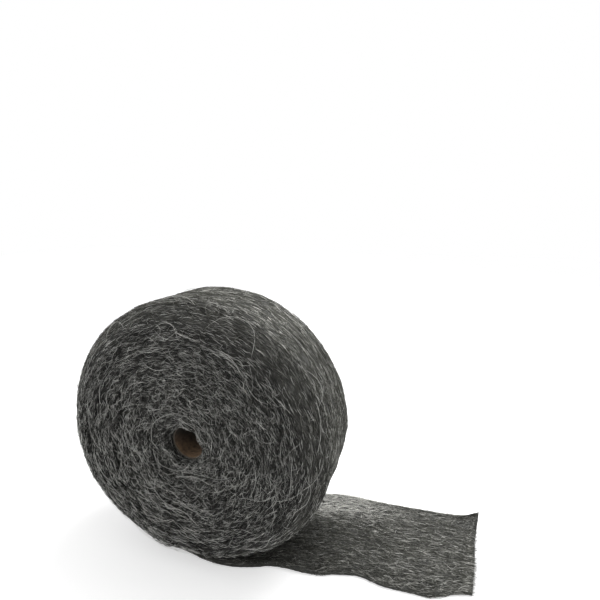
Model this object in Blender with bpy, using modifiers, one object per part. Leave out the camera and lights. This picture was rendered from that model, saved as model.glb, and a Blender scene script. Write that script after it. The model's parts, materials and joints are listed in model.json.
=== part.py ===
"""Roll of steel wool: one soft strip wound on a cardboard core, with its loose end lying out flat."""

import math

import bmesh
import bpy
from mathutils import Matrix, Vector

MM = 0.001

# Cardboard core
CORE_BORE = 26.5 * MM
CORE_WALL = 1.8 * MM
CORE_INSET = 6.0 * MM  # each end of the core lies this far behind the innermost turn
CORE_EDGE_ROUND = 0.5 * MM
CORE_FIT = 0.35 * MM  # between the core and the wool around it
CORE_SIDES = 64

# Strip of wool
STRIP_WIDTH = 94.0 * MM
STRIP_THICKNESS = 8.2 * MM
START_THICKNESS = 4.0 * MM  # at the end that lies on the core
START_CLIMB = 0.15  # part of a turn in which the strip rises over its own start
TURNS = 11.25
TURN_GAP = 0.4 * MM
STRIP_EDGE_WIDTH = 3.2 * MM  # the rounding of the strip's long edges, across
STRIP_EDGE_DEPTH = 2.6 * MM  # and through its thickness
STEPS_PER_TURN = 32

# Soft shape of the wound roll
RIM_RADIUS = 32.0 * MM
EDGE_DROP = 13.0 * MM  # how far the outermost turn's edges are drawn in
FLAT_SHARE = 0.6  # part of the strip's width that stays flat between its drawn-in edges
MOUTH_DISH = 5.0 * MM  # how far the face dips towards the core
MOUTH_DISH_REACH = 28.0 * MM
ROLL_SAG = 11.5 * MM  # how much less than round the roll stands high
CORE_SINK = 4.0 * MM  # how far the core has sunk below the roll's middle
FLAT_SPOT_WIDTH = 46.0 * MM

# Loose end on the table
TAIL_LENGTH = 217.0 * MM  # from under the roll's axis to the cut end
TAIL_WIDTH = 88.0 * MM
TAIL_THICKNESS = 5.0 * MM
TAIL_THIN_LENGTH = 13.0 * MM  # length in which it thins out under the roll
TAIL_EDGE_THINNING = 0.35  # part of the thickness that its long edges lose
TAIL_SHIFT = 28.0 * MM  # how far it swings back as it leaves the roll
TAIL_SHIFT_LENGTH = 118.0 * MM
TAIL_RELAX = 60.0 * MM  # length in which the curl of the last turn flattens
TAIL_BACK_LIFT = 3.0 * MM
TAIL_CORNER_LIFT = 11.0 * MM  # how far the far corner of the cut end turns up
TAIL_CORNER_REACH = 2.5 * MM  # and how far it sticks out
TAIL_CORNER_GRIP = 20  # the higher, the nearer to the corner its turning up starts
TAIL_CUT_SLANT = 4.0 * MM
TAIL_CORNER_CUT = 13.0 * MM  # how far the near corner of the cut end is drawn in
TAIL_CORNER_LENGTH = 36.0 * MM
TAIL_WAVE = 0.8 * MM
TAIL_WAVE_LENGTH = 92.0 * MM
TAIL_FRONT_WAVE = 4.4 * MM  # of the near edge alone
TAIL_FRONT_WAVE_LENGTH = 80.0 * MM
TAIL_FRONT_WAVE_START = 57.0 * MM  # where that wave is first drawn in
TAIL_FRONT_WAVE_END = 125.0 * MM  # where it starts to die out
TAIL_FRONT_WAVE_FADE = 36.0 * MM  # and in what length it does
TAIL_STEPS = 18

# Colours, roughness and metallic value
WOOL_COLOUR = (0.115, 0.118, 0.108, 1.0)
WOOL_ROUGHNESS = 0.55
WOOL_METALLIC = 0.7
CARDBOARD_COLOUR = (0.23, 0.15, 0.085, 1.0)
CARDBOARD_ROUGHNESS = 0.9

# Sizes that follow
CORE_RADIUS = CORE_BORE / 2 + CORE_WALL
WOOL_BORE_RADIUS = CORE_RADIUS + CORE_FIT
TURN_PITCH = STRIP_THICKNESS + TURN_GAP
ROLL_RADIUS = WOOL_BORE_RADIUS + START_THICKNESS + TURN_PITCH * TURNS
TOUCH_ANGLE = math.asin(FLAT_SPOT_WIDTH / 2 / ROLL_RADIUS)
LAST_ANGLE = 1.5 * math.pi - TOUCH_ANGLE  # where the strip comes down on the table
SAG_ABOVE = (ROLL_SAG / 2 - CORE_SINK) / ROLL_RADIUS
SAG_BELOW = (ROLL_SAG / 2 + CORE_SINK) / ROLL_RADIUS
AXIS_HEIGHT = ROLL_RADIUS * math.cos(TOUCH_ANGLE) * (1 - SAG_BELOW)
CORE_LENGTH = STRIP_WIDTH - 2 * (MOUTH_DISH + CORE_INSET)


def smooth_step(value):
    """Eases from 0 to 1 as the value goes from 0 to 1."""
    value = min(max(value, 0.0), 1.0)
    return value * value * (3 - 2 * value)


def mix(first, last, share):
    """The value at a share of the way from the first to the last."""
    return first + (last - first) * share


def growth(radius):
    """Share of the way from the core to the outermost turn."""
    return (radius - WOOL_BORE_RADIUS) / (ROLL_RADIUS - WOOL_BORE_RADIUS)


def half_width(radius):
    """Half the width of a turn: outer turns end on the round rim, the innermost ones in the dished mouth."""
    edge_radius = radius - EDGE_DROP * growth(radius)
    over_rim = max(0.0, edge_radius - (ROLL_RADIUS - RIM_RADIUS))
    rim = RIM_RADIUS - math.sqrt(RIM_RADIUS**2 - over_rim**2)
    dish = MOUTH_DISH * (1 - smooth_step((radius - WOOL_BORE_RADIUS) / MOUTH_DISH_REACH))
    return STRIP_WIDTH / 2 - rim - dish


def outer_radius(turned):
    """Radius of the strip's outer side after so many turns."""
    return WOOL_BORE_RADIUS + START_THICKNESS + TURN_PITCH * turned


def inner_radius(turned):
    """Radius of its inner side, which lies on the core for one turn and then on the turn below."""
    if turned >= 1:
        return outer_radius(turned) - STRIP_THICKNESS
    climb = smooth_step((turned - 1 + START_CLIMB) / START_CLIMB)
    return WOOL_BORE_RADIUS + climb * (START_THICKNESS + TURN_GAP)


def slumped(radius, angle, y):
    """A point of the round roll after the wool has sagged onto its flat spot."""
    grown = growth(radius)
    x, z = radius * math.cos(angle), radius * math.sin(angle)
    z *= 1 - (SAG_ABOVE if z > 0 else SAG_BELOW) * grown
    half_flat = FLAT_SPOT_WIDTH / 2
    if z < 0 and abs(x) < half_flat:
        bulge = math.sqrt(ROLL_RADIUS**2 - x**2) - math.sqrt(ROLL_RADIUS**2 - half_flat**2)
        z += bulge * (1 - SAG_BELOW) * grown**2
    return Vector((x, y, AXIS_HEIGHT + z))


def section_outline(width, thickness):
    """The strip's section as pairs of a place across, from -1 to 1, and a depth, 0 inside and 1 outside."""
    side = 1 - 2 * STRIP_EDGE_WIDTH / width
    edge = STRIP_EDGE_DEPTH / max(thickness, 3 * STRIP_EDGE_DEPTH)
    across = (-side, -FLAT_SHARE, 0.0, FLAT_SHARE, side)
    outside = [(place, 1.0) for place in across]
    inside = [(place, 0.0) for place in reversed(across)]
    right = [(1.0, 1 - edge), (1.0, edge)]
    left = [(-1.0, edge), (-1.0, 1 - edge)]
    return outside + right + inside + left


def edge_share(across):
    """How much of the edges' bend a place across the strip takes, from 0 on the flat middle to 1 at the edge."""
    return (max(abs(across) - FLAT_SHARE, 0.0) / (1 - FLAT_SHARE)) ** 2


def wound_point(radius, across, angle):
    """A point of the roll by its radius at the strip's middle, its place across and its angle."""
    drop = EDGE_DROP * growth(radius) * edge_share(across)
    return slumped(radius - drop, angle, across * half_width(radius))


def wound_section(turned):
    """The section's points after so many turns on the roll."""
    inner, outer = inner_radius(turned), outer_radius(turned)
    angle = LAST_ANGLE + 2 * math.pi * (turned - TURNS)
    outline = section_outline(2 * half_width(outer), outer - inner)
    return [wound_point(mix(inner, outer, depth), across, angle) for across, depth in outline]


def tail_section(share):
    """The section's points at a share of the loose end's length, from the flat spot to the cut."""
    start = -FLAT_SPOT_WIDTH / 2
    along = (TAIL_LENGTH - start) * share
    thinned = smooth_step(along / TAIL_THIN_LENGTH)
    relaxed = smooth_step(along / TAIL_RELAX)
    middle = TAIL_SHIFT * smooth_step((along + start) / TAIL_SHIFT_LENGTH)
    wave = TAIL_WAVE * relaxed * math.sin(2 * math.pi * along / TAIL_WAVE_LENGTH)
    half = mix(half_width(ROLL_RADIUS), TAIL_WIDTH / 2, relaxed)
    corner = TAIL_CORNER_CUT * smooth_step(1 - (TAIL_LENGTH - start - along) / TAIL_CORNER_LENGTH)
    phase = 2 * math.pi * (start + along - TAIL_FRONT_WAVE_START) / TAIL_FRONT_WAVE_LENGTH
    fading = 1 - smooth_step((start + along - TAIL_FRONT_WAVE_END) / TAIL_FRONT_WAVE_FADE)
    near_edge = corner + TAIL_FRONT_WAVE * relaxed * fading * math.cos(phase)
    points = []
    for across, depth in section_outline(2 * half, TAIL_THICKNESS):
        bend = edge_share(across)
        curl = wound_point(ROLL_RADIUS, across, LAST_ANGLE).z
        wound_thickness = wound_point(inner_radius(TURNS), across, LAST_ANGLE).z - curl
        flat_thickness = TAIL_THICKNESS * (1 - TAIL_EDGE_THINNING * relaxed * bend)
        back = bend if across > 0 else 0.0
        tip = back * share**TAIL_CORNER_GRIP
        lift = TAIL_BACK_LIFT * relaxed * back + TAIL_CORNER_LIFT * tip
        x = start + along + TAIL_CUT_SLANT * across * share**2 + TAIL_CORNER_REACH * tip
        y = middle + wave + across * half + near_edge * max(-across, 0.0)
        z = curl * (1 - relaxed) + lift + mix(wound_thickness, flat_thickness, thinned) * (1 - depth)
        points.append(Vector((x, y, z)))
    return points


def loft(name, sections):
    """A solid drawn through the sections: each one is extruded from the last and moved to its own points."""
    mesh = bmesh.new()
    start = mesh.faces.new([mesh.verts.new(point) for point in sections[0]])
    cap = start
    for section in sections[1:]:
        grown = bmesh.ops.extrude_face_region(mesh, geom=[cap])["geom"]
        if cap is not start:
            bmesh.ops.delete(mesh, geom=[cap], context="FACES_ONLY")
        cap = next(item for item in grown if isinstance(item, bmesh.types.BMFace))
        for loop, point in zip(cap.loops, section):
            loop.vert.co = point
    bmesh.ops.recalc_face_normals(mesh, faces=mesh.faces)
    data = bpy.data.meshes.new(name)
    mesh.to_mesh(data)
    mesh.free()
    return bpy.data.objects.new(name, data)


def principled(name, colour, roughness, metallic=0.0):
    """A plain material of the part's colour and finish."""
    material = bpy.data.materials.new(name)
    material.use_nodes = True
    shader = material.node_tree.nodes["Principled BSDF"]
    shader.inputs["Base Color"].default_value = colour
    shader.inputs["Roughness"].default_value = roughness
    shader.inputs["Metallic"].default_value = metallic
    return material


def wool_strip(collection):
    """The strip, wound from the core outwards and led off along the table."""
    steps = int(TURNS * STEPS_PER_TURN)
    sections = [wound_section(TURNS - step / STEPS_PER_TURN) for step in range(steps, -1, -1)]
    sections += [tail_section(step / TAIL_STEPS) for step in range(1, TAIL_STEPS + 1)]
    strip = loft("wool_strip", sections)
    strip.data.materials.append(principled("Steel wool", WOOL_COLOUR, WOOL_ROUGHNESS, WOOL_METALLIC))
    collection.objects.link(strip)
    strip.data.shade_smooth()
    strip.data.set_sharp_from_angle(angle=math.radians(50))
    return strip


def cardboard_core(collection):
    """The tube that the strip is wound on, a shell of paper with slightly rounded ends."""
    bpy.ops.mesh.primitive_cylinder_add(
        vertices=CORE_SIDES, radius=CORE_RADIUS, depth=CORE_LENGTH, end_fill_type="NOTHING"
    )
    core = bpy.context.object
    core.name = "cardboard_core"
    core.data.name = "cardboard_core"
    core.data.transform(Matrix.Rotation(math.pi / 2, 4, "X"))
    core.location.z = AXIS_HEIGHT
    shell = core.modifiers.new("Wall", "SOLIDIFY")
    shell.thickness = CORE_WALL
    shell.offset = -1
    rounding = core.modifiers.new("Rounded ends", "BEVEL")
    rounding.width = CORE_EDGE_ROUND
    rounding.segments = 2
    rounding.limit_method = "ANGLE"
    rounding.angle_limit = math.radians(60)
    core.data.materials.append(principled("Cardboard", CARDBOARD_COLOUR, CARDBOARD_ROUGHNESS))
    core.data.shade_smooth()
    core.data.set_sharp_from_angle(angle=math.radians(50))
    for holder in list(core.users_collection):
        holder.objects.unlink(core)
    collection.objects.link(core)
    return core


def main():
    """Models the roll in an emptied scene."""
    for item in list(bpy.data.objects):
        bpy.data.objects.remove(item, do_unlink=True)
    collection = bpy.data.collections.new("Steel wool roll")
    bpy.context.scene.collection.children.link(collection)
    wool_strip(collection)
    cardboard_core(collection)


if __name__ == "__main__":
    main()
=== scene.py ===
"""Dresses the roll of steel wool.

The strip is modelled again with rounder edges and takes the place of the plain solid. Coats of single
fibres lie over it, and the cardboard core keeps its solid and gets a finish. The camera and the studio
are set up round it.
"""

from __future__ import annotations

import json
import logging
import math
from dataclasses import dataclass, field
from enum import Enum

import bpy
import numpy as np
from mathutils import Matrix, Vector

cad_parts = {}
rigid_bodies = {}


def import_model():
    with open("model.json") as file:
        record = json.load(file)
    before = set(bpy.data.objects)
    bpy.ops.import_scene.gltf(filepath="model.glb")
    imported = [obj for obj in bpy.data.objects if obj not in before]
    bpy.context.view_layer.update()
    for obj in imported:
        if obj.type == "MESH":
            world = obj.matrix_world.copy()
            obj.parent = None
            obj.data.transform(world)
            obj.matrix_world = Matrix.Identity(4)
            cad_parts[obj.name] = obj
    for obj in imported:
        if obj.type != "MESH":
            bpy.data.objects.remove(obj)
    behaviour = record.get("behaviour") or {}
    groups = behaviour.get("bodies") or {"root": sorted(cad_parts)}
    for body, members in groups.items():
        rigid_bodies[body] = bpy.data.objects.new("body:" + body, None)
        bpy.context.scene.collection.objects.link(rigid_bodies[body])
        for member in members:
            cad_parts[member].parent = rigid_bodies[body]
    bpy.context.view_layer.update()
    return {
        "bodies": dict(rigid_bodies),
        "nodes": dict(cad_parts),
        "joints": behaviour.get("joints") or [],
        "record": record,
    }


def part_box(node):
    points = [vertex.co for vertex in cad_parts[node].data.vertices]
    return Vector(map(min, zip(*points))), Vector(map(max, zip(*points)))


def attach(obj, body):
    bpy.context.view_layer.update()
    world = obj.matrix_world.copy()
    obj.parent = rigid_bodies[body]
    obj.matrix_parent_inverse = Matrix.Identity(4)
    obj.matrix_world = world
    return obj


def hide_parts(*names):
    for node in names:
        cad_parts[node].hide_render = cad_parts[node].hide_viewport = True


LOG = logging.getLogger("steel_wool_roll")
MM = 0.001
BAKE_MAP = "OFBake"
STRIP_MAP = "Strip"
TONE = "tone"
SAME_HEIGHT = 1e-3
SHORTEST = 1e-12

Colour = tuple[float, float, float]
Range = tuple[float, float]


def eased(value: np.ndarray) -> np.ndarray:
    """Eases from 0 to 1 as the value goes from 0 to 1.

    Args:
        value: Any numbers, cut off below 0 and above 1.

    Returns:
        The eased numbers.
    """
    value = np.clip(value, 0.0, 1.0)
    return value * value * (3 - 2 * value)


def mixed(first: np.ndarray, last: np.ndarray, share: np.ndarray) -> np.ndarray:
    """The value at a share of the way from the first to the last.

    Args:
        first: Value at share 0.
        last: Value at share 1.
        share: How far along.

    Returns:
        The value there.
    """
    return first + (last - first) * share


def unit(vectors: np.ndarray) -> np.ndarray:
    """The vectors at length 1, along the last axis."""
    return vectors / np.maximum(np.linalg.norm(vectors, axis=-1, keepdims=True), SHORTEST)


@dataclass(frozen=True)
class Ripple:
    """A smooth and uneven field made of crossing waves."""

    length: float
    seed: int
    waves: int = 8
    slowest: float = 0.6
    quickest: float = 1.8

    def at(self, places: np.ndarray) -> np.ndarray:
        """The field's value, mostly between -1 and 1.

        Args:
            places: Points, with their coordinates along the last axis.

        Returns:
            One value for each point.
        """
        chance = np.random.default_rng(self.seed)
        headings = unit(chance.normal(size=(self.waves, places.shape[-1])))
        pace = chance.uniform(self.slowest, self.quickest, self.waves) * 2 * math.pi / self.length
        phases = chance.uniform(0, 2 * math.pi, self.waves)
        return np.sin(places @ (headings * pace[:, None]).T + phases).sum(-1) / math.sqrt(self.waves)


class Side(Enum):
    """The two faces of the roll, by the sign of their place across the strip."""

    FRONT = -1
    BACK = 1


@dataclass(frozen=True)
class StripForm:
    """The strip's form, wound and flat. A place in it has three numbers.

    turned counts the turns from the core, and then goes on by 1 over the loose end. across goes from -1
    at the front edge to 1 at the back edge. depth is 0 on the strip's inner side and 1 on its outer
    side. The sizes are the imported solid's, apart from the rounder edge, the tuck and the unevenness.
    """

    axis_height: float
    bore_radius: float
    width: float = 94.0 * MM
    thickness: float = 8.2 * MM
    start_thickness: float = 4.0 * MM
    start_climb: float = 0.15
    turns: float = 11.25
    turn_gap: float = 0.4 * MM
    edge_width: float = 1.5 * MM
    edge_depth: float = 0.24
    rim_radius: float = 32.0 * MM
    edge_drop: float = 13.0 * MM
    flat_share: float = 0.6
    mouth_dish: float = 5.0 * MM
    mouth_dish_reach: float = 28.0 * MM
    roll_sag: float = 11.5 * MM
    core_sink: float = 4.0 * MM
    flat_spot: float = 46.0 * MM
    tail_length: float = 217.0 * MM
    tail_width: float = 88.0 * MM
    tail_thickness: float = 5.0 * MM
    tail_thin_length: float = 13.0 * MM
    tail_thinning: float = 0.35
    tail_shift: float = 28.0 * MM
    tail_shift_length: float = 118.0 * MM
    tail_relax: float = 60.0 * MM
    tail_back_lift: float = 3.0 * MM
    tail_corner_lift: float = 11.0 * MM
    tail_corner_reach: float = 2.5 * MM
    tail_corner_grip: float = 20.0
    tail_cut_slant: float = 4.0 * MM
    tail_corner_cut: float = 13.0 * MM
    tail_corner_length: float = 36.0 * MM
    tail_wave: float = 0.8 * MM
    tail_wave_length: float = 92.0 * MM
    tail_front_wave: float = 4.4 * MM
    tail_front_wave_length: float = 80.0 * MM
    tail_front_wave_start: float = 57.0 * MM
    # how far the near edge stays drawn in before its waves begin, as a share of a wave
    tail_front_tuck: float = 0.85
    tail_front_wave_end: float = 125.0 * MM
    tail_front_wave_fade: float = 36.0 * MM
    edge_wander: float = 0.8 * MM
    edge_wander_pace: float = 0.55
    edge_wander_fade: float = 8.0
    edge_wander_power: int = 3
    front_sway: Ripple = Ripple(0.11, 3)
    back_sway: Ripple = Ripple(0.13, 4)
    lump: float = 0.3 * MM
    lump_fade: float = 12 * MM
    lumps: tuple[Ripple, Ripple, Ripple] = (Ripple(0.045, 5), Ripple(0.045, 6), Ripple(0.045, 7))

    @property
    def pitch(self) -> float:
        """From one turn to the next."""
        return self.thickness + self.turn_gap

    @property
    def radius(self) -> float:
        """Of the outermost turn's outer side, where it comes down on the table."""
        return self.bore_radius + self.start_thickness + self.pitch * self.turns

    @property
    def last_angle(self) -> float:
        """Where the strip comes down on the table, seen from the front."""
        return 1.5 * math.pi - math.asin(self.flat_spot / 2 / self.radius)

    def outer(self, turned: np.ndarray) -> np.ndarray:
        """Radius of the strip's outer side after so many turns."""
        return self.bore_radius + self.start_thickness + self.pitch * turned

    def inner(self, turned: np.ndarray) -> np.ndarray:
        """Radius of the strip's inner side.

        Args:
            turned: Turns from the core.

        Returns:
            The radius, which leaves the core over the last part of the first turn.
        """
        climb = eased((turned - 1 + self.start_climb) / self.start_climb)
        first = self.bore_radius + climb * (self.start_thickness + self.turn_gap)
        return np.where(turned >= 1, self.outer(turned) - self.thickness, first)

    def growth(self, radius: np.ndarray) -> np.ndarray:
        """Share of the way from the core to the outermost turn."""
        return (radius - self.bore_radius) / (self.radius - self.bore_radius)

    def half_width(self, radius: np.ndarray) -> np.ndarray:
        """Half the width of a turn.

        Args:
            radius: The turn's radius.

        Returns:
            Half its width, less at the round rim and in the dished mouth.
        """
        edge_radius = radius - self.edge_drop * self.growth(radius)
        over = np.maximum(edge_radius - self.radius + self.rim_radius, 0)
        rim = self.rim_radius - np.sqrt(self.rim_radius**2 - over**2)
        dish = self.mouth_dish * (1 - eased((radius - self.bore_radius) / self.mouth_dish_reach))
        return self.width / 2 - rim - dish

    def edge_share(self, across: np.ndarray) -> np.ndarray:
        """How much of the edges' bend a place across the strip takes."""
        return (np.maximum(np.abs(across) - self.flat_share, 0) / (1 - self.flat_share)) ** 2

    def slumped(self, radius: np.ndarray, angle: np.ndarray, y: np.ndarray) -> np.ndarray:
        """Points of the round roll after the wool has sagged onto its flat spot.

        Args:
            radius: Distance from the axis.
            angle: Angle round the axis, seen from the front.
            y: Place along the axis.

        Returns:
            Points, with x, y and z along the last axis.
        """
        grown = self.growth(radius)
        x, z = radius * np.cos(angle), radius * np.sin(angle)
        above = (self.roll_sag / 2 - self.core_sink) / self.radius
        below = (self.roll_sag / 2 + self.core_sink) / self.radius
        z = z * (1 - np.where(z > 0, above, below) * grown)
        half = self.flat_spot / 2
        bulge = np.sqrt(self.radius**2 - np.minimum(np.abs(x), half) ** 2)
        bulge = bulge - math.sqrt(self.radius**2 - half**2)
        z = z + np.where(z < 0, bulge * (1 - below) * grown**2, 0)
        return np.stack(np.broadcast_arrays(x, y, self.axis_height + z), -1)

    def wound(self, turned: np.ndarray, across: np.ndarray, depth: np.ndarray) -> np.ndarray:
        """Points of the wound strip.

        Args:
            turned: Turns from the core.
            across: Place across the strip.
            depth: Place through the strip.

        Returns:
            Points, with x, y and z along the last axis.
        """
        radius = mixed(self.inner(turned), self.outer(turned), depth)
        angle = self.last_angle + 2 * math.pi * (turned - self.turns)
        drop = self.edge_drop * self.growth(radius) * self.edge_share(across)
        return self.slumped(radius - drop, angle, across * self.half_width(radius))

    def flat(self, share: np.ndarray, across: np.ndarray, depth: np.ndarray) -> np.ndarray:
        """Points of the loose end.

        Args:
            share: Share of its length, from where it comes down to its cut end.
            across: Place across the strip.
            depth: Place through the strip.

        Returns:
            Points, with x, y and z along the last axis.
        """
        start = -self.flat_spot / 2
        along = (self.tail_length - start) * share
        thinned = eased(along / self.tail_thin_length)
        relaxed = eased(along / self.tail_relax)
        middle = self.tail_shift * eased((along + start) / self.tail_shift_length)
        half = mixed(self.half_width(self.radius), self.tail_width / 2, relaxed)
        to_cut = self.tail_length - start - along
        corner = self.tail_corner_cut * eased(1 - to_cut / self.tail_corner_length)
        last = np.full_like(along, self.turns)
        low = self.wound(last, across, np.ones_like(along))
        high = self.wound(last, across, np.zeros_like(along))
        bend = self.edge_share(across)
        thick = self.tail_thickness * (1 - self.tail_thinning * relaxed * bend)
        tip = bend * share**self.tail_corner_grip * (across > 0)
        lift = bend * self.tail_back_lift * relaxed * (across > 0) + self.tail_corner_lift * tip
        lean = (mixed(high[..., 0], low[..., 0], depth) - start) * (1 - thinned)
        wave = self.tail_wave * np.sin(2 * math.pi * along / self.tail_wave_length)
        phase = 2 * math.pi * (start + along - self.tail_front_wave_start) / self.tail_front_wave_length
        fading = 1 - eased((start + along - self.tail_front_wave_end) / self.tail_front_wave_fade)
        swing = np.where(phase > 0, np.cos(phase), self.tail_front_tuck)
        corner = corner + self.tail_front_wave * relaxed * fading * swing
        x = start + along + lean + self.tail_cut_slant * across * share**2 + self.tail_corner_reach * tip
        y = middle + wave * relaxed + across * half + corner * np.maximum(-across, 0)
        height = mixed(high[..., 2] - low[..., 2], thick, thinned) * (1 - depth)
        z = low[..., 2] * (1 - relaxed) + lift + height
        return np.stack(np.broadcast_arrays(x, y, z), -1)

    def place(self, turned: np.ndarray, across: np.ndarray, depth: np.ndarray) -> np.ndarray:
        """Points of the strip, wound or flat, with the wool's own unevenness.

        Args:
            turned: Turns from the core, and 1 more over the loose end.
            across: Place across the strip.
            depth: Place through the strip.

        Returns:
            Points, with x, y and z along the last axis.
        """
        turned, across, depth = np.broadcast_arrays(turned, across, depth)
        loose = turned > self.turns
        rolled = self.wound(np.clip(turned, 0.0, self.turns), across, depth)
        laid = self.flat(np.clip(turned - self.turns, 0.0, 1.0), across, depth)
        points = np.where(loose[..., None], laid, rolled)
        run = (turned * self.edge_wander_pace)[..., None]
        sway = np.where(across < 0, self.front_sway.at(run), self.back_sway.at(run))
        fade = 1 - eased((turned - self.turns) * self.edge_wander_fade)
        points[..., 1] += self.edge_wander * fade * sway * np.abs(across) ** self.edge_wander_power
        swell = np.stack([lump.at(points) for lump in self.lumps], -1)
        points += self.lump * swell * eased(points[..., 2:] / self.lump_fade)
        points[..., 2] = np.maximum(points[..., 2], 0.0)
        return points

    def nose(self, depth: np.ndarray) -> np.ndarray:
        """How far the rounded long edge draws back at a depth, in places across the strip."""
        near = (np.abs(2 * depth - 1) - 1 + 2 * self.edge_depth) / (2 * self.edge_depth)
        return 2 * self.edge_width / self.width * (1 - np.sqrt(1 - np.clip(near, 0.0, 1.0) ** 2))


def new_mesh_object(name: str, vertices: np.ndarray, triangles: np.ndarray) -> bpy.types.Object:
    """An object at the origin with this mesh.

    Args:
        name: The piece's name.
        vertices: Points, one row each.
        triangles: Three vertex numbers in each row.

    Returns:
        The object, in the scene's collection.
    """
    mesh = bpy.data.meshes.new(name)
    mesh.vertices.add(len(vertices))
    mesh.vertices.foreach_set("co", vertices.astype(np.float32).ravel())
    mesh.loops.add(triangles.size)
    mesh.loops.foreach_set("vertex_index", triangles.astype(np.int32).ravel())
    mesh.polygons.add(len(triangles))
    mesh.polygons.foreach_set("loop_start", np.arange(0, triangles.size, 3, dtype=np.int32))
    mesh.update(calc_edges=True)
    mesh.shade_smooth()
    piece = bpy.data.objects.new(name, mesh)
    bpy.context.scene.collection.objects.link(piece)
    return piece


def only(piece: bpy.types.Object) -> None:
    """Makes one object the selected and active one.

    Args:
        piece: The object.
    """
    bpy.ops.object.select_all(action="DESELECT")
    piece.select_set(True)
    bpy.context.view_layer.objects.active = piece


def divide_lengthwise(bar: bpy.types.Object, divisions: tuple[int, ...]) -> None:
    """Divides an upright bar's long edges into even pieces, in edit mode.

    Args:
        bar: The bar, as it comes from its primitive.
        divisions: How many pieces each edge is divided into, time after time.
    """
    only(bar)
    bpy.context.tool_settings.mesh_select_mode = (False, True, False)
    for pieces in divisions:
        mesh = bar.data
        heights = np.empty(len(mesh.vertices) * 3)
        mesh.vertices.foreach_get("co", heights)
        heights = heights[2::3]
        ends = np.empty(len(mesh.edges) * 2, np.int32)
        mesh.edges.foreach_get("vertices", ends)
        climbs = np.abs(heights[ends[::2]] - heights[ends[1::2]]) > SAME_HEIGHT
        mesh.vertices.foreach_set("select", np.zeros(len(mesh.vertices), bool))
        mesh.polygons.foreach_set("select", np.zeros(len(mesh.polygons), bool))
        mesh.edges.foreach_set("select", climbs)
        bpy.ops.object.mode_set(mode="EDIT")
        bpy.ops.mesh.subdivide(number_cuts=pieces - 1, smoothness=0)
        bpy.ops.object.mode_set(mode="OBJECT")


def set_map(mesh: bpy.types.Mesh, name: str, corners: np.ndarray) -> None:
    """Writes a UV map.

    Args:
        mesh: The mesh to map.
        name: The map's name.
        corners: Two numbers for each face corner.
    """
    layer = mesh.uv_layers.get(name) or mesh.uv_layers.new(name=name, do_init=False)
    layer.uv.foreach_set("vector", corners.astype(np.float32).ravel())


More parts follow.
